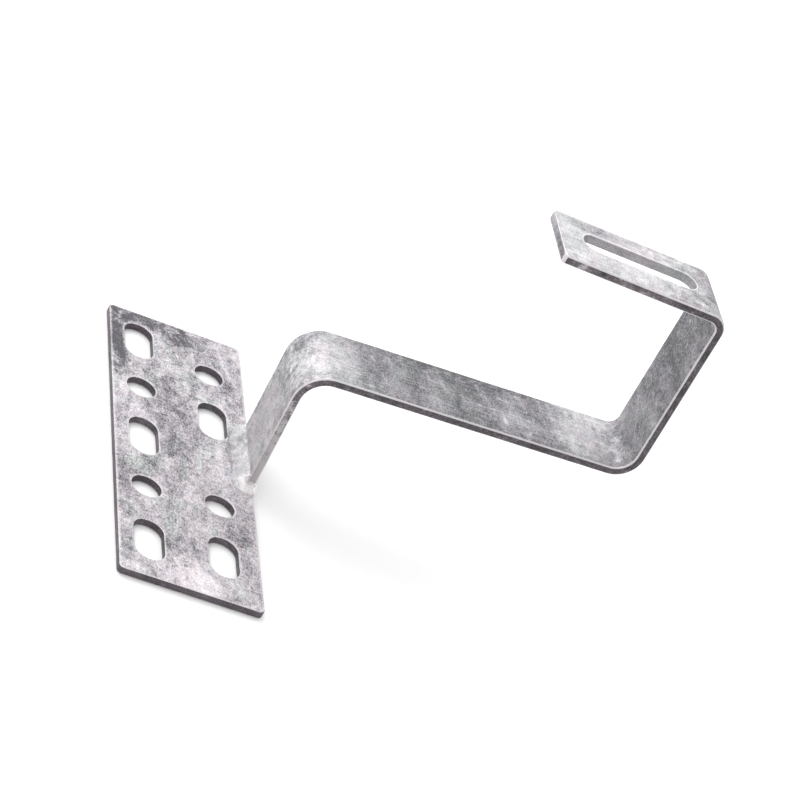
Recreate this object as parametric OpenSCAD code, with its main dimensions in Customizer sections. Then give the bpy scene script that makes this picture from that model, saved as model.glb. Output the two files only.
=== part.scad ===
// Galvanised roof hook: a drilled base plate that is screwed to a rafter and a
// flat bar welded on its edge, bent three times, with a slotted arm for a rail.
// Units mm. The underside of the plate is z = 0, the plate centre is the origin,
// x runs down the roof slope and y across it.

/* [Base plate] */
// length of the plate across the slope
plate_l = 180; // [160:1:220]
// width of the plate along the slope
plate_w = 60; // [56:1:80]
// thickness of the plate
plate_t = 3.2; // [2.5:0.1:6]
// radius of the four plate corners
plate_corner_r = 2; // [0.5:0.5:6]

/* [Screw holes] */
// diameter of the round holes and width of the long holes
hole_d = 12.5; // [8:0.5:13]
// length of the long holes, along y
hole_l = 24; // [18:0.5:26]
// x of the first column of five holes
column_a_x = -17; // [-19:0.5:-14]
// pitch of the first column
column_a_pitch = 34; // [32:0.5:36]
// y of the middle of the first column
column_a_y = 1; // [-2:0.1:2]
// x of the second column of four holes
column_b_x = 14.5; // [12:0.5:16]
// distance from the middle of the second column to its inner holes
column_b_inner = 29; // [28:0.5:32]
// distance from the middle of the second column to its outer holes
column_b_outer = 62; // [58:0.5:66]
// y of the middle of the second column
column_b_y = -0.8; // [-2:0.1:2]

/* [Bent bar] */
// width of the flat bar
bar_w = 35; // [25:1:40]
// thickness of the flat bar
bar_t = 4; // [3:0.5:8]
// y of the middle of the bar
bar_y = 7.4; // [-10:0.1:10]
// how far the outer face of the leg stands past the plate edge
leg_overhang = 0.5; // [0:0.1:1]
// straight length of the leg that stands on the plate
leg_flat = 45.9; // [20:0.1:80]
// straight length of the run
run_flat = 120.1; // [60:0.1:180]
// straight length of the upright
rise_flat = 64.4; // [30:0.1:100]
// straight length of the arm that carries the rail
arm_flat = 67.6; // [55:0.1:90]
// lean of the leg back over the plate, degrees
leg_lean = 1.5; // [0:0.1:3]
// rise of the run, degrees
run_rise = 2.4; // [0:0.1:4]
// lean of the upright towards the arm, degrees
rise_lean = 0.9; // [0:0.1:3]
// rise of the arm towards its free end, degrees
arm_rise = 1; // [0:0.1:3]
// inner radius of the bend above the leg
bend_1_r = 10; // [4:0.5:16]
// inner radius of the bend under the upright
bend_2_r = 8; // [4:0.5:16]
// inner radius of the bend into the arm
bend_3_r = 4; // [3:0.5:12]
// radius of the two corners at the free end of the arm
arm_corner_r = 2; // [0.5:0.5:5]

/* [Arm slot] */
// width of the slot
slot_w = 11; // [8:0.5:14]
// overall length of the slot
slot_l = 51.5; // [30:0.5:52]
// distance from the free end of the arm to the slot
slot_margin = 11.4; // [10:0.1:14]
// offset of the slot from the middle of the bar
slot_offset = 1.8; // [-4:0.1:4]

/* [Welds] */
// leg length of the fillet weld around the foot of the bar
weld_leg = 6; // [4:0.5:7]
// radius of the weld face
weld_face_r = 7.6; // [7:0.1:12]
// radius of the seam weld on the outer face
seam_r = 3.4; // [3:0.1:4]
// how far the seam weld stands out from the plate edge
seam_proud = 1.4; // [0.8:0.1:2]
// length of weld that runs past each edge of the bar
seam_over = 2.5; // [0:0.5:5]

/* [Hidden] */
$fn = 96;
meet = 0.01;
leg_a = 90 + leg_lean;
run_a = run_rise;
rise_a = 90 + rise_lean;
arm_a = 180 - arm_rise;
r1 = bend_1_r + bar_t / 2;
r2 = bend_2_r + bar_t / 2;
r3 = bend_3_r + bar_t / 2;
function ray(a) = [cos(a), sin(a)];
foot = [plate_w / 2 + leg_overhang - bar_t / 2, plate_t];
leg_top = foot + leg_flat * ray(leg_a);
bend_1 = leg_top + r1 * ray(leg_a - 90);
run_start = bend_1 + r1 * ray(run_a + 90);
run_end = run_start + run_flat * ray(run_a);
bend_2 = run_end + r2 * ray(run_a + 90);
rise_start = bend_2 + r2 * ray(rise_a - 90);
rise_end = rise_start + rise_flat * ray(rise_a);
bend_3 = rise_end + r3 * ray(rise_a + 90);
arm_start = bend_3 + r3 * ray(arm_a - 90);
leg_in = foot[0] - bar_t / 2;
bar_y0 = bar_y - bar_w / 2;
bar_y1 = bar_y + bar_w / 2;
weld_c = sqrt(weld_face_r * weld_face_r / 2 - weld_leg * weld_leg / 4) - weld_leg / 2;

module round_hole(x, y) {
  translate([x, y, -1]) cylinder(d = hole_d, h = plate_t + 2);
}

module long_hole(x, y) {
  d = (hole_l - hole_d) / 2;
  translate([x, y - d, -1]) cylinder(d = hole_d, h = plate_t + 2);
  translate([x, y + d, -1]) cylinder(d = hole_d, h = plate_t + 2);
  translate([x - hole_d / 2, y - d, -1]) cube([hole_d, 2 * d, plate_t + 2]);
}

module base_plate() {
  color("silver") difference() {
    linear_extrude(height = plate_t) union() {
      square([plate_w - 2 * plate_corner_r, plate_l], center = true);
      square([plate_w, plate_l - 2 * plate_corner_r], center = true);
      for (sx = [-1, 1], sy = [-1, 1])
        translate([sx * (plate_w / 2 - plate_corner_r), sy * (plate_l / 2 - plate_corner_r)])
          circle(r = plate_corner_r);
    }
    for (k = [-2, 0, 2]) long_hole(column_a_x, column_a_y + k * column_a_pitch);
    for (k = [-1, 1]) round_hole(column_a_x, column_a_y + k * column_a_pitch);
    round_hole(column_b_x, column_b_y + column_b_outer);
    long_hole(column_b_x, column_b_y + column_b_inner);
    round_hole(column_b_x, column_b_y - column_b_inner);
    long_hole(column_b_x, column_b_y - column_b_outer);
  }
}

// the side of a bend away from its centre: a corner less a circle, so that
// it fills the inside of a mitred corner or rounds off the outside of one
module corner(c, a0, a1, r, out) {
  translate(c) difference() {
    polygon([[0, 0], (r + out) * ray(a0), (r + out) / cos((a1 - a0) / 2) * ray((a0 + a1) / 2), (r + out) * ray(a1)]);
    circle(r = r + meet);
  }
}

// edge line of the bar in the x-z plane, d from each bend's centre
function tip(c, a0, a1, d) = c + d / cos((a1 - a0) / 2) * ray((a0 + a1) / 2);

// draws its children in the x-z plane and gives them the bar's width
module across(extra = 0) {
  translate([0, bar_y1 + extra, 0]) rotate([90, 0, 0]) linear_extrude(height = bar_w + 2 * extra) children();
}

module bar_solid() {
  a1 = [leg_a + 90, run_a + 90];
  a2 = [run_a - 90, rise_a - 90];
  a3 = [rise_a - 90, arm_a - 90];
  half = bar_t / 2;
  end = arm_start + arm_flat * ray(arm_a);
  difference() {
    union() {
      across() polygon([
        foot - [half / sin(leg_a), 0],
        tip(bend_1, a1[0], a1[1], bend_1_r + bar_t),
        tip(bend_2, a2[0], a2[1], bend_2_r),
        tip(bend_3, a3[0], a3[1], bend_3_r),
        end + half * ray(arm_a + 90),
        end + half * ray(arm_a - 90),
        tip(bend_3, a3[0], a3[1], bend_3_r + bar_t),
        tip(bend_2, a2[0], a2[1], bend_2_r + bar_t),
        tip(bend_1, a1[0], a1[1], bend_1_r),
        foot + [half / sin(leg_a), 0]
      ]);
      across() corner(bend_1, a1[0], a1[1], bend_1_r, half);
      across() corner(bend_2, a2[0], a2[1], bend_2_r, half);
      across() corner(bend_3, a3[0], a3[1], bend_3_r, half);
    }
    across(1) corner(bend_1, a1[0], a1[1], bend_1_r + bar_t, 1);
    across(1) corner(bend_2, a2[0], a2[1], bend_2_r + bar_t, 1);
    across(1) corner(bend_3, a3[0], a3[1], bend_3_r + bar_t, 1);
  }
}

// plain block where the leg stands, taller than the welds and sunk into the plate
module leg_block() {
  translate([foot[0], bar_y0 - 5, plate_t]) rotate([0, 90 - leg_a, 0])
    translate([-bar_t / 2, 0, -2]) cube([bar_t, bar_w + 10, weld_leg + 10]);
}

// cut drawn flat on the arm: x along the arm from its free end, y across
module on_arm() {
  end = arm_start + arm_flat * ray(arm_a);
  translate([end[0], bar_y, end[1]]) rotate([0, -arm_a + 180, 0]) children();
}

module arm_slot() {
  r = slot_w / 2;
  for (x = [slot_margin + r, slot_margin + slot_l - r])
    translate([x, slot_offset, -bar_t]) cylinder(r = r, h = 2 * bar_t);
  translate([slot_margin + r, slot_offset - r, -bar_t]) cube([slot_l - slot_w, slot_w, 2 * bar_t]);
}

module arm_corner(s) {
  translate([0, s * bar_w / 2, -bar_t]) difference() {
    translate([-1, s > 0 ? -arm_corner_r : -1, 0]) cube([arm_corner_r + 1, arm_corner_r + 1, 2 * bar_t]);
    translate([arm_corner_r, -s * arm_corner_r, -1]) cylinder(r = arm_corner_r, h = 2 * bar_t + 2);
  }
}

module hook_bar() {
  color("gainsboro") difference() {
    bar_solid();
    on_arm() {
      arm_slot();
      arm_corner(-1);
      arm_corner(1);
    }
  }
}

// fillet section, the right angle at the origin, x away from the bar, y up
module weld_section() {
  intersection() {
    square([weld_leg + 1, weld_leg + 1]);
    translate([-weld_c, -weld_c]) circle(r = weld_face_r);
  }
}

module weld_inner() {
  color("darkgray") difference() {
    translate([leg_in, bar_y0, plate_t]) rotate([90, 0, 180]) linear_extrude(height = bar_w) weld_section();
    leg_block();
  }
}

// the part of the weld that turns round one edge of the leg and runs to the plate edge
module weld_turn(s) {
  translate([leg_in, s > 0 ? bar_y1 : bar_y0, plate_t]) {
    rotate([0, 0, s > 0 ? 90 : 180]) rotate_extrude(angle = 90) weld_section();
    translate([s > 0 ? 0 : plate_w / 2 - leg_in, 0, 0]) rotate([90, 0, s * 90])
      linear_extrude(height = plate_w / 2 - leg_in) weld_section();
  }
}

module weld_front() {
  color("darkgray") weld_turn(-1);
}

module weld_back() {
  color("darkgray") weld_turn(1);
}

module weld_seam() {
  color("darkgray") difference() {
    translate([plate_w / 2 + seam_proud - seam_r, bar_y1 + seam_over, plate_t]) rotate([90, 0, 0])
      cylinder(r = seam_r, h = bar_w + 2 * seam_over);
    leg_block();
    translate([0, -plate_l / 2, -5]) cube([plate_w / 2, plate_l, 20]);
  }
}

base_plate();
hook_bar();
weld_inner();
weld_front();
weld_back();
weld_seam();
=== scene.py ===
# Galvanised roof hook: base plate, bent bar, weld round the foot. Metres, in the frame of the CAD part.
import math

import bmesh
import bpy
from mathutils import Matrix, Vector, noise


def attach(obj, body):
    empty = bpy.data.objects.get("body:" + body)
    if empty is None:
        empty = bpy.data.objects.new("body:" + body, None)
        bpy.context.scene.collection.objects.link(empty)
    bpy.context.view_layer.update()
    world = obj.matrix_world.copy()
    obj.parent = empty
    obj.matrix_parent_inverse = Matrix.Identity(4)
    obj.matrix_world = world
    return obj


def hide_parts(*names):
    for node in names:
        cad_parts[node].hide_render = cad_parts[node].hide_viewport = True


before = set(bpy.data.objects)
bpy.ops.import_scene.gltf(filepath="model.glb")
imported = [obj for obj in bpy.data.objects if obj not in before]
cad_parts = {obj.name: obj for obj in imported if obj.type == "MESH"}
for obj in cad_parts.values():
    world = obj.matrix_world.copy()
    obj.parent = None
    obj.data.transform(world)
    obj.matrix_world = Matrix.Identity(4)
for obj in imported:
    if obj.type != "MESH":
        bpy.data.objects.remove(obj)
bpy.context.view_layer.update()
print("frame loaded:", sorted(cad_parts))

mm = 0.001

# what all the zinc finishes share
zinc = {
    "cloudSpan": (0.3, 0.7),                             # nearly every value of a cloud lies in here
    "stainAndLightScale": 260, "stainAndLightRagged": 0.35, "stainAndLightFade": (0.15, 0.75),
    "grainHeight": 0.5, "mottleHeight": 0.9, "streakDepth": 0.9,  # shares of the bump
    # how the painted highlight on rounded edges frays and fades
    "highlightRagged": 0.1, "highlightFade": (0.7, 1.0),
    "wornGrain": 0.4, "wornSpan": (0.2, 1.2),
}


def addNode(tree, kind, inputs=None, **settings):
    node = tree.nodes.new(kind)
    for key, value in settings.items():
        setattr(node, key, value)
    for key, value in (inputs or {}).items():
        if isinstance(value, bpy.types.NodeSocket):
            tree.links.new(value, node.inputs[key])
        else:
            node.inputs[key].default_value = value
    return node


def cloud(tree, place, scale, detail, rough, warp=0.0):
    node = addNode(tree, "ShaderNodeTexNoise", {
        "Vector": place, "Scale": scale, "Detail": detail, "Roughness": rough, "Distortion": warp})
    return node.outputs["Fac"]


def spread(tree, value, low, high, toLow=0.0, toHigh=1.0):
    node = addNode(tree, "ShaderNodeMapRange", {
        "Value": value, "From Min": low, "From Max": high, "To Min": toLow, "To Max": toHigh})
    return node.outputs["Result"]


def swayed(tree, value, size):
    # a cloud's value, swung by size to both sides of nothing
    return spread(tree, value, *zinc["cloudSpan"], -size, size)


def reckon(tree, how, first, second):
    return addNode(tree, "ShaderNodeMath", {0: first, 1: second}, operation=how).outputs[0]


def added(tree, value, extra, share):
    return reckon(tree, "ADD", value, reckon(tree, "MULTIPLY", extra, share))


def turned(tree, place, turn, stretch):
    node = addNode(tree, "ShaderNodeMapping", {
        "Vector": place, "Rotation": [math.radians(a) for a in turn], "Scale": stretch})
    return node.outputs["Vector"]


def tinted(tree, share, colour, hue):
    node = addNode(tree, "ShaderNodeMix", data_type="RGBA", blend_type="MULTIPLY")
    node.inputs[0].default_value = share
    tree.links.new(colour, node.inputs[6])  # sockets 6 and 7 are the two colours
    tree.links.new(hue, node.inputs[7])
    return node.outputs[2]


def toneRamp(tree, value, stops):
    node = addNode(tree, "ShaderNodeValToRGB", {"Fac": value})
    marks = node.color_ramp.elements
    while len(marks) < len(stops):
        marks.new(0.5)
    for mark, (where, tone) in zip(marks, stops):
        mark.position = where
        mark.color = (*tone, 1.0)
    return node.outputs["Color"]


def stainAndLightSpot(tree, place, centre, size):
    # a soft spot at centre, ragged at its rim; it carries real stains and also painted light and shade
    spot = addNode(tree, "ShaderNodeMapping", {
        "Vector": place, "Location": [c * mm for c in centre], "Scale": [s * mm for s in size]},
        vector_type="TEXTURE")
    fall = addNode(tree, "ShaderNodeTexGradient", {"Vector": spot.outputs[0]}, gradient_type="SPHERICAL")
    rim = swayed(tree, cloud(tree, place, zinc["stainAndLightScale"], 5, 0.65), zinc["stainAndLightRagged"])
    return spread(tree, reckon(tree, "ADD", fall.outputs["Fac"], rim), *zinc["stainAndLightFade"])


def zincFinish(name, look):
    finish = bpy.data.materials.new(name)
    finish.use_nodes = True
    tree = finish.node_tree
    shader = tree.nodes["Principled BSDF"]
    even = addNode(tree, "ShaderNodeTexCoord").outputs["Object"]  # for streaks, stains and painted light, in true size
    drawn = turned(tree, even, (0, 0, 0), look["drawnOut"])       # clouds are drawn out along the plate
    broad = cloud(tree, drawn, look["broadScale"], 3, 0.5, 0.4)
    mottle = cloud(tree, drawn, look["mottleScale"], 6, 0.62, 0.6)
    grain = cloud(tree, drawn, look["grainScale"], 3, 0.62)
    value = reckon(tree, "MULTIPLY", swayed(tree, broad, 1), look["broadShare"])
    value = added(tree, value, swayed(tree, mottle, 1), look["mottleShare"])
    value = added(tree, value, swayed(tree, grain, 1), look["grainShare"])
    height = added(tree, reckon(tree, "MULTIPLY", grain, zinc["grainHeight"]), mottle, zinc["mottleHeight"])
    # rubbed streaks and fine scratches, each set in its own direction
    for turn, stretch, low, high, share in look["streaks"]:
        line = cloud(tree, turned(tree, even, turn, stretch), 1.0, 3, 0.55)
        mark = spread(tree, line, low, high)
        value = added(tree, value, mark, share)
        depth = reckon(tree, "MULTIPLY", mark, abs(share) * zinc["streakDepth"])
        height = reckon(tree, "SUBTRACT", height, depth)
    # spots of real stain and of painted light and shade, added into the tone
    for centre, size, share in look["stainsAndPaintedLight"]:
        value = added(tree, value, stainAndLightSpot(tree, even, centre, size), share)
    value = reckon(tree, "ADD", value, look["base"])
    # painted highlight: rounded edges go towards one light tone, with a grainy rim
    highlighted = addNode(tree, "ShaderNodeAttribute", attribute_name="edgeHighlight").outputs["Fac"]
    highlighted = reckon(tree, "ADD", highlighted, swayed(tree, grain, zinc["highlightRagged"]))
    highlighted = reckon(tree, "MULTIPLY", spread(tree, highlighted, *zinc["highlightFade"]), look["highlightShare"])
    value = added(tree, value, reckon(tree, "SUBTRACT", look["highlightTone"], value), highlighted)
    hue = toneRamp(tree, cloud(tree, drawn, look["hueScale"], 3, 0.6, 0.8), look["hues"])
    colour = tinted(tree, look["hueShare"], toneRamp(tree, value, look["tones"]), hue)
    tree.links.new(colour, shader.inputs["Base Color"])
    # bright zinc is smoother than dull zinc
    worn = spread(tree, added(tree, value, grain, zinc["wornGrain"]), *zinc["wornSpan"],
                  look["roughHigh"], look["roughLow"])
    tree.links.new(worn, shader.inputs["Roughness"])
    bump = addNode(tree, "ShaderNodeBump", {
        "Height": height, "Strength": look["bump"], "Distance": look["bumpDepth"]})
    tree.links.new(bump.outputs["Normal"], shader.inputs["Normal"])
    shader.inputs["Metallic"].default_value = look["metallic"]
    return finish


# tones and hues: where each stands on its ramp, and its colour
greyTones = [(0.0, (0.09, 0.092, 0.1)), (0.3, (0.34, 0.34, 0.355)), (0.55, (0.58, 0.575, 0.585)),
             (0.8, (0.78, 0.77, 0.77)), (1.0, (0.95, 0.93, 0.92))]
# tones of the painted shade on the narrow sides
shadedTones = [(0.0, (0.03, 0.027, 0.032)), (0.35, (0.075, 0.066, 0.075)), (0.6, (0.13, 0.115, 0.128)),
             (0.85, (0.24, 0.22, 0.235)), (1.0, (0.42, 0.4, 0.41))]
plateHues = [(0.3, (0.93, 0.985, 0.94)), (0.44, (1.0, 0.965, 0.985)), (0.56, (1.0, 0.92, 0.955)),
             (0.7, (0.93, 0.945, 0.99))]
barHues = [(0.34, (0.955, 0.985, 0.965)), (0.48, (1.0, 0.978, 0.99)), (0.6, (1.0, 0.945, 0.968)),
           (0.75, (0.94, 0.955, 0.995))]
weldHues = [(0.4, (0.965, 0.985, 0.97)), (0.6, (1.0, 0.98, 0.99))]

# streaks: turn in degrees, scale along each axis, where they start and are full, and share
# stains and painted light: centre and reach in mm, and share; a share below nothing darkens
plateLook = {
    "base": 0.37, "tones": greyTones, "hues": plateHues, "hueScale": 75, "hueShare": 1.0,
    "drawnOut": (1, 0.55, 1), "broadScale": 42, "broadShare": 0.12, "mottleScale": 210, "mottleShare": 0.21,
    "grainScale": 1700, "grainShare": 0.24, "highlightShare": 0.6, "highlightTone": 0.62,
    "streaks": [((0, 0, 28), (160, 1900, 1900), 0.58, 0.74, -0.20),
                ((0, 0, -52), (180, 1700, 1700), 0.6, 0.76, 0.18),
                ((0, 0, 74), (130, 1300, 1300), 0.58, 0.76, -0.18),
                ((0, 0, 100), (90, 700, 700), 0.55, 0.8, 0.14)],
    "stainsAndPaintedLight": [((-27, 66, 3), (8, 36, 30), -0.42), ((-12, 87, 3), (26, 10, 30), -0.32),
               ((3, 80, 3), (11, 12, 30), -0.25), ((23, 78, 3), (12, 18, 30), 0.16),
               ((-2, 20, 3), (26, 52, 40), -0.12), ((0, -82, 3), (40, 18, 30), 0.26),
               ((18, 2, 3), (18, 32, 30), 0.22), ((22, -46, 3), (9, 16, 30), -0.14)],
    "roughLow": 0.36, "roughHigh": 0.62, "bump": 0.3, "bumpDepth": 0.4 * mm, "metallic": 0.5,
}
barLook = {
    **plateLook,
    "base": 0.19, "hues": barHues, "broadShare": 0.08, "mottleShare": 0.12, "grainShare": 0.15,
    # the painted highlight on the bar's rounded edges is the strongest
    "highlightShare": 0.85, "highlightTone": 0.68,
    "streaks": [((0, 0, 3), (60, 1100, 1100), 0.56, 0.76, -0.16),
                ((0, 0, -14), (90, 1500, 1500), 0.6, 0.76, 0.16),
                ((0, 80, 0), (60, 900, 900), 0.54, 0.76, 0.14),
                ((0, 0, 38), (130, 1700, 1700), 0.6, 0.76, 0.12)],
    # painted light and shade, set region by region: leg, bend 1, the end of the run, bend 2 and the arm
    # lighter; the run, the rise and a band behind the slot darker; the top of the rise under the arm darker
    # still
    "stainsAndPaintedLight": [((100, 25, 64), (50, 12, 20), -0.17), ((92, 4, 64), (64, 44, 22), -0.09),
               ((54, 4, 64), (14, 30, 12), -0.08), ((166, 7, 118), (14, 44, 46), -0.08),
               ((120, 2, 66), (18, 10, 12), 0.14), ((112, 8, 150), (90, 60, 30), 0.28),
               ((112, 20, 150), (22, 6, 8), -0.2), ((27, 8, 22), (14, 40, 48), 0.34),
               ((36, 6, 60), (24, 34, 18), 0.22), ((149, 8, 69), (20, 40, 13), 0.26),
               ((166, 7, 142), (12, 30, 12), -0.12)],
}
# the narrow sides of plate and bar, darker than their faces: a shaded copy of the zinc, painted shade
shadedEdgeLook = {
    **plateLook,
    "base": 0.33, "tones": shadedTones, "hueShare": 0.5, "highlightShare": 0.3,
    "streaks": [((0, 0, 0), (120, 1200, 1200), 0.58, 0.75, 0.2)],
    # painted light: the leg's and the arm's narrow faces lighter; the two small spots on the arm's front
    # are real nicks, a light scratch and a dark spot
    "stainsAndPaintedLight": [((27, -10, 16), (18, 14, 60), 0.75), ((112, -10, 148), (60, 12, 20), 0.2),
               ((103, -10, 148), (2.5, 6, 3), 0.5), ((112, -10, 148), (2, 6, 3), -0.3)],
    "roughHigh": 0.6, "metallic": 0.35,
}
# the walls of the slot and the free end of the arm
cutLook = {**barLook, "base": 0.16, "stainsAndPaintedLight": [], "highlightShare": 0.5, "highlightTone": 0.5}
weldLook = {
    **plateLook,
    "base": 0.44, "hues": weldHues, "mottleScale": 300, "mottleShare": 0.16, "grainShare": 0.12,
    "highlightShare": 0.0, "streaks": [((0, 0, 60), (150, 1500, 1500), 0.62, 0.76, 0.10)],
    # painted highlights: the two light spots where the bead turns round the front and back of the bar
    "stainsAndPaintedLight": [((28, -13, 5), (9, 6, 8), 0.35), ((28, 27, 5), (9, 7, 8), 0.3)],
    "roughLow": 0.4, "roughHigh": 0.6, "bump": 0.5,
}
plateZinc = zincFinish("plateZinc", plateLook)
barZinc = zincFinish("barZinc", barLook)
shadedEdgeZinc = zincFinish("shadedEdgeZinc", shadedEdgeLook)
cutZinc = zincFinish("cutZinc", cutLook)
weldZinc = zincFinish("weldZinc", weldLook)
print("finishes made")


def settle(bm, amount, size, seed):
    # dipped zinc never lies quite even: every point sinks a little way in
    bm.normal_update()
    for v in bm.verts:
        deep = 0.5 + 0.5 * noise.noise(v.co / size + Vector((seed, seed, 0)))
        v.co -= v.normal * amount * min(max(deep, 0.0), 1.0)


highlightAngle = math.radians(12)  # an edge that bends more than this between two faces gets the painted highlight


def makePiece(name, bm, finishes, nodes):
    bmesh.ops.recalc_face_normals(bm, faces=bm.faces[:])
    for face in bm.faces:
        face.smooth = True
    edgeHighlight = bm.verts.layers.float.new("edgeHighlight")  # 1 on rounded edges, where a highlight is painted into the colour
    for v in bm.verts:
        v[edgeHighlight] = 1.0 if any(e.calc_face_angle(0) > highlightAngle for e in v.link_edges) else 0.0
    mesh = bpy.data.meshes.new(name)
    bm.to_mesh(mesh)
    bm.free()
    for finish in finishes:
        mesh.materials.append(finish)
    piece = bpy.data.objects.new(name, mesh)
    bpy.context.scene.collection.objects.link(piece)
    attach(piece, "root")
    if nodes:
        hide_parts(*nodes)
    print(name, "made,", len(mesh.polygons), "faces")


def vertsOf(geom):
    return [g for g in geom if isinstance(g, bmesh.types.BMVert)]


def facesOf(geom):
    return [g for g in geom if isinstance(g, bmesh.types.BMFace)]


def whole(faces):
    # faces with their edges and points: an extrusion of these leaves no wall inside
    edges = {e for f in faces for e in f.edges}
    verts = {v for f in faces for v in f.verts}
    return list(faces) + list(edges) + list(verts)


def rounded(bm, geom, offset, segments, affect="EDGES"):
    bmesh.ops.bevel(bm, geom=geom, offset=offset, offset_type="OFFSET", segments=segments,
                    profile=0.5, affect=affect, material=-1)


def ringLoop(bm, matrix, radius, stretch, segments):
    # a round loop, or a long one when its two halves are moved apart along its own x
    half = Matrix.Rotation(math.pi / segments, 4, "Z")
    made = bmesh.ops.create_circle(bm, cap_ends=False, radius=radius, segments=segments,
                                   matrix=matrix @ half)
    back = matrix.inverted()
    along = (matrix.to_3x3() @ Vector((1, 0, 0))).normalized()
    for v in made["verts"]:
        v.co += along * (stretch if (back @ v.co).x > 0 else -stretch)
    return list({e for v in made["verts"] for e in v.link_edges})


rimReach = 1.9 * mm  # half a cell and a little more


def openFace(bm, matrix, reach, loop, level):
    # clears the grid around a loop, then fills from the loop out to what is left
    back = matrix.inverted()

    def inside(co, extra):
        p = back @ co
        return abs(p.x) < reach[0] + extra and abs(p.y) < reach[1] + extra and abs(p.z) < level

    gone = [f for f in bm.faces if inside(f.calc_center_median(), 0)]
    before = set(bm.edges)
    bmesh.ops.delete(bm, geom=gone, context="FACES")
    rim = [e for e in bm.edges if e in before and e.is_boundary and e not in loop
           and all(inside(v.co, rimReach) for v in e.verts)]
    bmesh.ops.triangle_fill(bm, use_beauty=True, use_dissolve=False, edges=rim + loop,
                            normal=matrix.to_3x3() @ Vector((0, 0, 1)))


plate = {
    "length": 180 * mm, "width": 60 * mm, "thick": 3.2 * mm, "cellsLong": 60, "cellsWide": 20,
    "cornerRadius": 2 * mm, "cornerSegments": 5, "rimBevel": 0.45 * mm, "rimSegments": 3,
    "holeRadius": 6.25 * mm, "longHalf": 5.75 * mm, "holeSegments": 40, "holeClear": 2.5 * mm,
    "longHoles": [(-17, 69), (-17, 1), (-17, -67), (14.5, 28.2), (14.5, -62.8)],      # x and y, mm
    "roundHoles": [(-17, 35), (-17, -33), (14.5, 61.2), (14.5, -29.8)],
    "shadedRim": 0.35, "shadedRight": 0.8,  # how far the painted shade runs round the rim, and how far where it faces +x, away from the key light
    "uneven": 0.09 * mm, "unevenSize": 11 * mm,
}


def makePlate(p):
    bm = bmesh.new()
    flat = Matrix.Translation((0, 0, p["thick"])) @ Matrix.Diagonal((p["width"], p["length"], 1, 1))
    bmesh.ops.create_grid(bm, x_segments=p["cellsWide"], y_segments=p["cellsLong"], size=0.5, matrix=flat)
    corners = [v for v in bm.verts if len(v.link_edges) == 2]
    rounded(bm, corners, p["cornerRadius"], p["cornerSegments"], "VERTICES")
    for spots, half in ((p["longHoles"], p["longHalf"]), (p["roundHoles"], 0.0)):
        for x, y in spots:
            spot = Matrix.Translation((x * mm, y * mm, p["thick"])) @ Matrix.Rotation(math.pi / 2, 4, "Z")
            loop = ringLoop(bm, spot, p["holeRadius"], half, p["holeSegments"])
            reach = (half + p["holeRadius"] + p["holeClear"], p["holeRadius"] + p["holeClear"])
            openFace(bm, spot, reach, loop, 0.1 * mm)
    made = bmesh.ops.extrude_face_region(bm, geom=bm.faces[:])
    bmesh.ops.translate(bm, verts=vertsOf(made["geom"]), vec=(0, 0, -p["thick"]))
    bmesh.ops.recalc_face_normals(bm, faces=bm.faces[:])
    # the rims run between a flat face and an upright one
    rims = [e for e in bm.edges if len(e.link_faces) == 2 and
            (abs(e.link_faces[0].normal.z) > 0.5) != (abs(e.link_faces[1].normal.z) > 0.5)]
    rounded(bm, rims, p["rimBevel"], p["rimSegments"])
    bm.normal_update()
    for face in bm.faces:
        # painted shade: narrow sides and rims take the darker edge copy, further round where they face +x,
        # away from the key light
        dark = p["shadedRight"] if face.normal.x > 0.3 else p["shadedRim"]
        face.material_index = 1 if abs(face.normal.z) < dark else 0
    settle(bm, p["uneven"], p["unevenSize"], 3.0)
    makePiece("rafterPlate", bm, [plateZinc, shadedEdgeZinc], ["base_plate"])


makePlate(plate)

bar = {
    "width": 35 * mm, "thick": 4 * mm, "middleY": 7.4 * mm, "cellsWide": 10,
    "edgeRadius": 1.1 * mm, "edgeSegments": 4,
    "foot": (28.5, 3.2), "sink": 0.4 * mm,             # x and z of the leg's foot, mm, and its depth below
    "lean": (91.5, 2.4, 90.9, 179.0),                  # heading of leg, run, rise and arm, degrees
    "flat": (45.9, 120.1, 64.4, 67.6),                 # straight lengths, mm
    "bend": (12.0, 10.0, 6.0), "side": (-90, 90, 90),  # radius at mid thickness, and where its centre lies
    "bendSteps": 14, "cell": 3.4 * mm,
    "tighter": 3.6 * mm,                               # how much tighter bend 2 is along its back edge
    "cornerRadius": 2 * mm, "cornerCuts": (0.2, 0.2, 0.25, 0.35),  # the arm's last cells, in radii
    "capBevel": 0.45 * mm, "capSegments": 2,
    "slotLong": 51.5 * mm, "slotWide": 11 * mm, "slotMargin": 11.4 * mm, "slotOffset": 1.8 * mm,
    "slotSegments": 40, "slotClear": (2.4 * mm, 2.7 * mm), "slotBevel": 0.5 * mm, "slotBevelSegments": 3,
    "uneven": 0.10 * mm, "unevenSize": 13 * mm,
}


def heading(angle):
    return Vector((math.cos(math.radians(angle)), 0, math.sin(math.radians(angle))))


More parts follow.
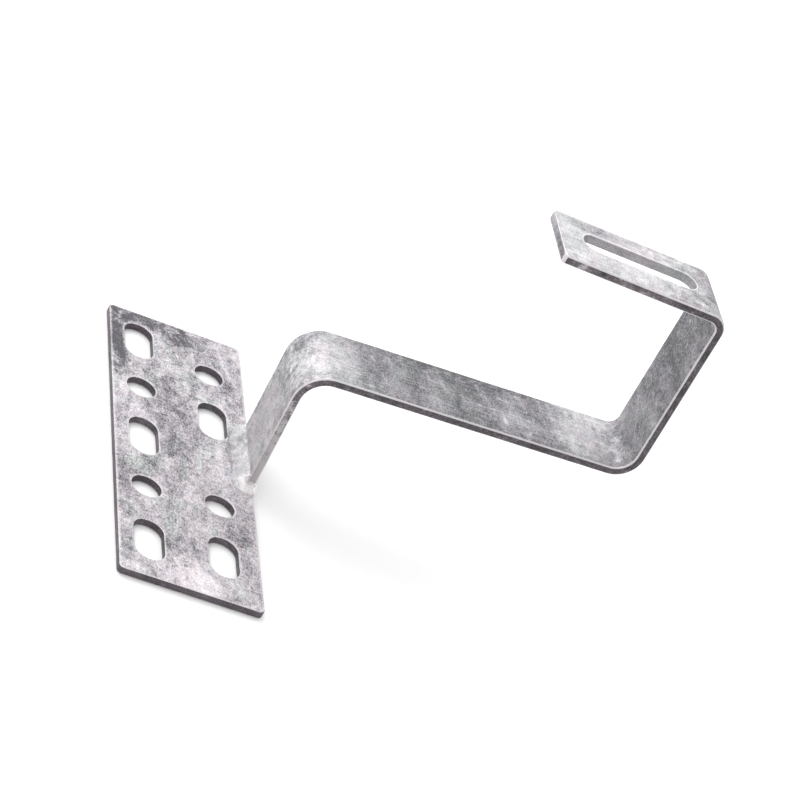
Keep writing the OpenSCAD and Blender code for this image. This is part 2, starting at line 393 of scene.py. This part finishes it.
def sweepBar(bm, b):
    # carries the section along each flat and round each bend; gives the arm's end, its last face, the bends
    leg = heading(b["lean"][0])
    foot = Vector((b["foot"][0] * mm, b["middleY"], b["foot"][1] * mm)) - leg * b["sink"]
    section = (Matrix.Translation(foot) @ Matrix.Rotation(math.radians(90 - b["lean"][0]), 4, "Y")
               @ Matrix.Diagonal((b["thick"], b["width"], 1, 1)))
    bmesh.ops.create_grid(bm, x_segments=1, y_segments=b["cellsWide"], size=0.5, matrix=section)
    corners = [v for v in bm.verts if len(v.link_edges) == 2]
    rounded(bm, corners, b["edgeRadius"], b["edgeSegments"], "VERTICES")
    tip = bmesh.ops.dissolve_faces(bm, faces=bm.faces[:], use_verts=False)["region"]
    at = foot.copy()
    bends = []
    for k, angle in enumerate(b["lean"]):
        go = heading(angle)
        length = b["flat"][k] * mm + (b["sink"] if k == 0 else 0)
        steps = max(2, round(length / b["cell"]))
        cuts = [length / steps] * steps
        if k == 3:  # shorter cells at the free end, for its round corners
            cuts[-1:] = [cuts[-1] - b["cornerRadius"]] + [b["cornerRadius"] * s for s in b["cornerCuts"]]
        for cut in cuts:
            made = bmesh.ops.extrude_face_region(bm, geom=whole(tip))["geom"]
            bmesh.ops.translate(bm, verts=vertsOf(made), vec=go * cut)
            tip = facesOf(made)
        at += go * length
        if k < 3:
            centre = at + heading(angle + b["side"][k]) * b["bend"][k] * mm
            swing = math.radians(b["lean"][k + 1] - angle)
            made = bmesh.ops.spin(bm, geom=whole(tip), cent=centre, axis=(0, -1, 0), dvec=(0, 0, 0),
                                  angle=swing, steps=b["bendSteps"], use_merge=False,
                                  use_duplicate=False)["geom_last"]
            tip = facesOf(made)
            at = centre - heading(b["lean"][k + 1] + b["side"][k]) * b["bend"][k] * mm
            bends.append((centre, angle + b["side"][k] + 180, swing))
    return at, tip, bends


def tightenBend(bm, b, centre, startTurn, swing, radius):
    # the arc slides out to its corner, more and more towards the back edge, with the same thickness
    for v in bm.verts:
        d = Vector((v.co.x - centre.x, v.co.z - centre.z))
        turn = (math.degrees(math.atan2(d.y, d.x)) - startTurn + 180) % 360 - 180
        if -0.5 <= turn <= math.degrees(swing) + 0.5 and abs(d.length - radius) < b["thick"]:
            share = min(max((v.co.y - b["middleY"]) / b["width"] + 0.5, 0), 1)
            pull = b["tighter"] * share * share * (3 - 2 * share)
            corner = heading(startTurn + math.degrees(swing) / 2) * pull / math.cos(swing / 2)
            v.co += corner - heading(startTurn + turn) * pull


def makeBar(b):
    bm = bmesh.new()
    at, tip, bends = sweepBar(bm, b)
    # the arm's own frame: x from its free end back towards the bend, z out of its upper face
    arm = Matrix.Translation(at) @ Matrix.Rotation(math.radians(180 - b["lean"][3]), 4, "Y")
    back = arm.inverted()
    radius = b["cornerRadius"]
    for v in bm.verts:
        p = back @ v.co
        if abs(p.z) < b["thick"] and -mm < p.x < radius and abs(p.y) > b["width"] / 2 - radius:
            lost = radius - math.sqrt(max(0, radius ** 2 - (radius - p.x) ** 2))
            v.co = arm @ Vector((p.x, p.y - math.copysign(lost, p.y), p.z))
    cap = list(tip[0].edges)
    tightenBend(bm, b, *bends[1], b["bend"][1] * mm)
    rounded(bm, cap, b["capBevel"], b["capSegments"])
    # slot: a loop on the arm's upper face, drawn through the thickness to the lower one
    level = 0.3 * mm
    up = arm.to_3x3() @ Vector((0, 0, 1))
    reach = (b["slotLong"] / 2 + b["slotClear"][0], b["slotWide"] / 2 + b["slotClear"][1])
    middle = Vector((b["slotMargin"] + b["slotLong"] / 2, b["slotOffset"], b["thick"] / 2))
    spot = arm @ Matrix.Translation(middle)
    straight = (b["slotLong"] - b["slotWide"]) / 2
    loop = ringLoop(bm, spot, b["slotWide"] / 2, straight, b["slotSegments"])
    openFace(bm, spot, reach, loop, level)
    through = bmesh.ops.extrude_edge_only(bm, edges=loop)["geom"]
    lowVerts = vertsOf(through)
    bmesh.ops.translate(bm, verts=lowVerts, vec=-up * b["thick"])
    lowLoop = [g for g in through
               if isinstance(g, bmesh.types.BMEdge) and all(v in lowVerts for v in g.verts)]
    openFace(bm, spot @ Matrix.Translation((0, 0, -b["thick"])), reach, lowLoop, level)
    rims = loop + lowLoop
    bmesh.ops.recalc_face_normals(bm, faces=bm.faces[:])
    walls = {f for e in rims for f in e.link_faces if abs(f.normal.dot(up)) < 0.3}
    for f in bm.faces:
        p = back @ f.calc_center_median()
        freeEnd = p.x < 0.1 * mm and abs(p.z) < b["thick"]
        # the bar's narrow sides take the darker edge copy, painted shade; slot walls and the free end take
        # the cut finish
        f.material_index = 2 if f in walls or freeEnd else (1 if abs(f.normal.y) > 0.9 else 0)
    rounded(bm, rims, b["slotBevel"], b["slotBevelSegments"])
    settle(bm, b["uneven"], b["unevenSize"], 8.0)
    makePiece("bentBar", bm, [barZinc, shadedEdgeZinc, cutZinc], ["hook_bar"])


makeBar(bar)

# one bead along the leg's inner face and round both corners
weld = {
    "out": 6.4 * mm, "root": 1.8 * mm, "face": 1.9 * mm, "toe": 4.6 * mm, "faceSharp": 6,
    "sideSize": (0.95, 0.5),  # out and up, where it turns round the sides of the bar
    "legFace": 26.5 * mm, "plateEdge": 29.3 * mm, "plateTop": 3.2 * mm, "step": 0.5 * mm, "turnSteps": 13,
    "ripple": 1.9 * mm, "rippleHeight": 0.02, "ragged": 0.12, "raggedSize": 3.6 * mm,
    "nose": 1.2 * mm, "sectionSegments": 32,
}
# a thin seal along the plate's edge, under the leg
seam = {
    "out": 1.35 * mm, "up": 2.4 * mm, "edge": 30.0 * mm, "height": 3.1 * mm, "over": 2.5 * mm,
    "step": 0.5 * mm, "ripple": 1.9 * mm, "rippleHeight": 0.10, "ragged": 0.12, "raggedSize": 2.6 * mm,
    "nose": 2.2 * mm, "sectionSegments": 20,
}
noseTurns = (25, 48, 68, 84)  # degrees round the nose of a bead, where it has a section


def layBead(bm, stations, shape, look, seed):
    # a closed section carried from station to station, swelling with each ripple of the weld
    made = bmesh.ops.create_circle(bm, cap_ends=True, radius=1, segments=look["sectionSegments"])
    ring = made["verts"]
    turn = {v: math.atan2(v.co.y, v.co.x) for v in ring}
    tip = list({f for v in ring for f in v.link_faces})
    run = 0.0
    for k, (root, out, size, travel) in enumerate(stations):
        if k:
            got = bmesh.ops.extrude_face_region(bm, geom=whole(tip))["geom"]
            tip = facesOf(got)
            ring = vertsOf(got)
            for v in ring:  # each new point keeps the turn of the point it came from
                turn[v] = next(turn[e.other_vert(v)] for e in v.link_edges
                               if e.other_vert(v) in turn and e.other_vert(v) not in ring)
        run += travel
        phase = (run / look["ripple"]) % 1.0
        swell = 1 + look["rippleHeight"] * (1 - phase * phase)
        for v in ring:
            a, b = shape(turn[v], look)
            spot = root + out * a + Vector((0, 0, b))
            ragged = look["ragged"] * noise.noise(spot / look["raggedSize"] + Vector((seed, 0, 0)))
            v.co = root + (out * a * size[0] + Vector((0, 0, b * size[1]))) * (swell + ragged)


def filletShape(turn, look):
    # round below, with a nearly flat face between the two toes
    face = look["face"] / max(0.05, math.cos(turn - math.pi / 4))
    sharp = look["faceSharp"]
    reach = (face ** -sharp + look["toe"] ** -sharp) ** (-1 / sharp)
    return look["root"] + reach * math.cos(turn), look["root"] + reach * math.sin(turn)


def seamShape(turn, look):
    return look["out"] * math.cos(turn), look["up"] * math.sin(turn)


# a station is its root point, the way out, its size out and up, and the travel since the last one
def straightRun(stations, start, end, out, step, size=(1.0, 1.0)):
    length = (end - start).length
    count = max(1, round(length / step))
    for k in range(count + 1):
        stations.append((start.lerp(end, k / count), out, size, length / count if k else 0.0))


def turnRound(stations, root, start, end, sizes, look):
    for k in range(1, look["turnSteps"]):
        share = k / look["turnSteps"]
        a = math.radians(start + (end - start) * share)
        size = [low + (high - low) * share for low, high in zip(*sizes)]
        stations.append((root, Vector((math.cos(a), math.sin(a), 0)), size, look["out"] * 0.1))


def roundEnds(stations, look):
    # the bead thins to a rounded nose at both ends
    first, last = stations[0], stations[-1]
    for where, along in ((0, first[0] - stations[1][0]), (len(stations), last[0] - stations[-2][0])):
        root, out, size, travel = first if where == 0 else last
        nose = [(root + along.normalized() * look["nose"] * math.sin(t), out,
                 (size[0] * math.cos(t), size[1] * math.cos(t)), 0.2 * mm)
                for t in (math.radians(a) for a in noseTurns)]
        if where == 0:
            stations[0:0] = nose[::-1]
        else:
            stations.extend(nose)


def makeWeld(w):
    bm = bmesh.new()
    yLow, yHigh = bar["middleY"] - bar["width"] / 2, bar["middleY"] + bar["width"] / 2
    edgeHigh, edgeLow = (Vector((w["plateEdge"], y, w["plateTop"])) for y in (yHigh, yLow))
    legHigh, legLow = (Vector((w["legFace"], y, w["plateTop"])) for y in (yHigh, yLow))
    full, side = (1.0, 1.0), w["sideSize"]
    stations = []
    straightRun(stations, edgeHigh, legHigh, Vector((0, 1, 0)), w["step"], side)
    turnRound(stations, legHigh, 90, 180, (side, full), w)
    straightRun(stations, legHigh, legLow, Vector((-1, 0, 0)), w["step"])
    turnRound(stations, legLow, 180, 270, (full, side), w)
    straightRun(stations, legLow, edgeLow, Vector((0, -1, 0)), w["step"], side)
    roundEnds(stations, w)
    layBead(bm, stations, filletShape, w, 5.0)
    makePiece("weldBead", bm, [weldZinc], ["weld_inner", "weld_front", "weld_back"])


def makeSeam(w):
    bm = bmesh.new()
    yLow = bar["middleY"] - bar["width"] / 2 - w["over"]
    yHigh = bar["middleY"] + bar["width"] / 2 + w["over"]
    start, end = (Vector((w["edge"], y, w["height"])) for y in (yHigh, yLow))
    stations = []
    straightRun(stations, start, end, Vector((1, 0, 0)), w["step"])
    roundEnds(stations, w)
    layBead(bm, stations, seamShape, w, 11.0)
    makePiece("weldSeam", bm, [weldZinc], ["weld_seam"])


makeWeld(weld)
makeSeam(seam)

# drops that the torch threw on the plate, flattened where they stuck
spatter = {
    "drops": [(7.7, -18.7, 1.0), (13.3, -10.4, 0.6), (14.8, 0.6, 0.6), (16.8, -12.0, 0.55),
              (18.5, -5.0, 0.6), (9.0, -22.5, 0.6)],  # x, y and radius, mm
    "flat": 0.45, "sunk": 0.05 * mm, "uneven": 0.25, "unevenSize": 1.1 * mm,
}


def makeSpatter(s):
    bm = bmesh.new()
    for x, y, radius in s["drops"]:
        spot = (Matrix.Translation((x * mm, y * mm, plate["thick"] - s["sunk"]))
                @ Matrix.Diagonal((1, 1, s["flat"], 1)))
        made = bmesh.ops.create_icosphere(bm, subdivisions=3, radius=radius * mm, matrix=spot)
        for v in made["verts"]:
            lump = 1 + s["uneven"] * noise.noise(v.co / s["unevenSize"])
            v.co = spot.translation + (v.co - spot.translation) * lump
    makePiece("weldSpatter", bm, [weldZinc], [])


makeSpatter(spatter)

studio = {
    "floorSize": 6.0, "floorDrop": 0.3 * mm, "floorTone": (0.93, 0.93, 0.93), "floorRough": 0.9,
    "sky": (1.0, 1.0, 1.0), "skyStrength": 0.85, "aim": (0.05, 0, 0.06),
    # name, where it stands, size, watts
    "lights": [("keyLight", (-0.5, 0.75, 1.1), 1.4, 13.0), ("fillLight", (0.9, 0.9, 0.9), 1.2, 5.0),
               ("frontLight", (-0.6, -1.0, 1.4), 1.4, 5.0)],
}


def makeFloor(s):
    bm = bmesh.new()
    bmesh.ops.create_grid(bm, x_segments=4, y_segments=4, size=s["floorSize"] / 2,
                          matrix=Matrix.Translation((0, 0, -s["floorDrop"])))
    mesh = bpy.data.meshes.new("floor")
    bm.to_mesh(mesh)
    bm.free()
    floor = bpy.data.objects.new("floor", mesh)
    bpy.context.scene.collection.objects.link(floor)
    paint = bpy.data.materials.new("floorPaint")
    paint.use_nodes = True
    shader = paint.node_tree.nodes["Principled BSDF"]
    shader.inputs["Base Color"].default_value = (*s["floorTone"], 1)
    shader.inputs["Roughness"].default_value = s["floorRough"]
    mesh.materials.append(paint)
    return floor


floor = makeFloor(studio)

for name, where, size, watts in studio["lights"]:
    lamp = bpy.data.lights.new(name, "AREA")
    lamp.size, lamp.energy = size, watts
    holder = bpy.data.objects.new(name, lamp)
    holder.location = where
    look = Vector(studio["aim"]) - Vector(where)
    holder.rotation_euler = look.to_track_quat("-Z", "Y").to_euler()
    bpy.context.scene.collection.objects.link(holder)

world = bpy.data.worlds.new("studio")
bpy.context.scene.world = world
world.use_nodes = True
world.node_tree.nodes["Background"].inputs["Color"].default_value = (*studio["sky"], 1)
world.node_tree.nodes["Background"].inputs["Strength"].default_value = studio["skyStrength"]
bpy.context.scene.view_settings.view_transform = "Standard"

view = {"place": (-0.33424, -0.99959, 0.64020), "turn": (57.933, -26.598, -6.313),
        "lens": 138.574, "film": 36.0, "clip": (0.05, 20)}
lensData = bpy.data.cameras.new("camera")
lensData.lens, lensData.sensor_width = view["lens"], view["film"]
lensData.clip_start, lensData.clip_end = view["clip"]
camera = bpy.data.objects.new("camera", lensData)
camera.location = view["place"]
camera.rotation_euler = [math.radians(a) for a in view["turn"]]
bpy.context.scene.collection.objects.link(camera)
bpy.context.scene.camera = camera
print("studio ready")
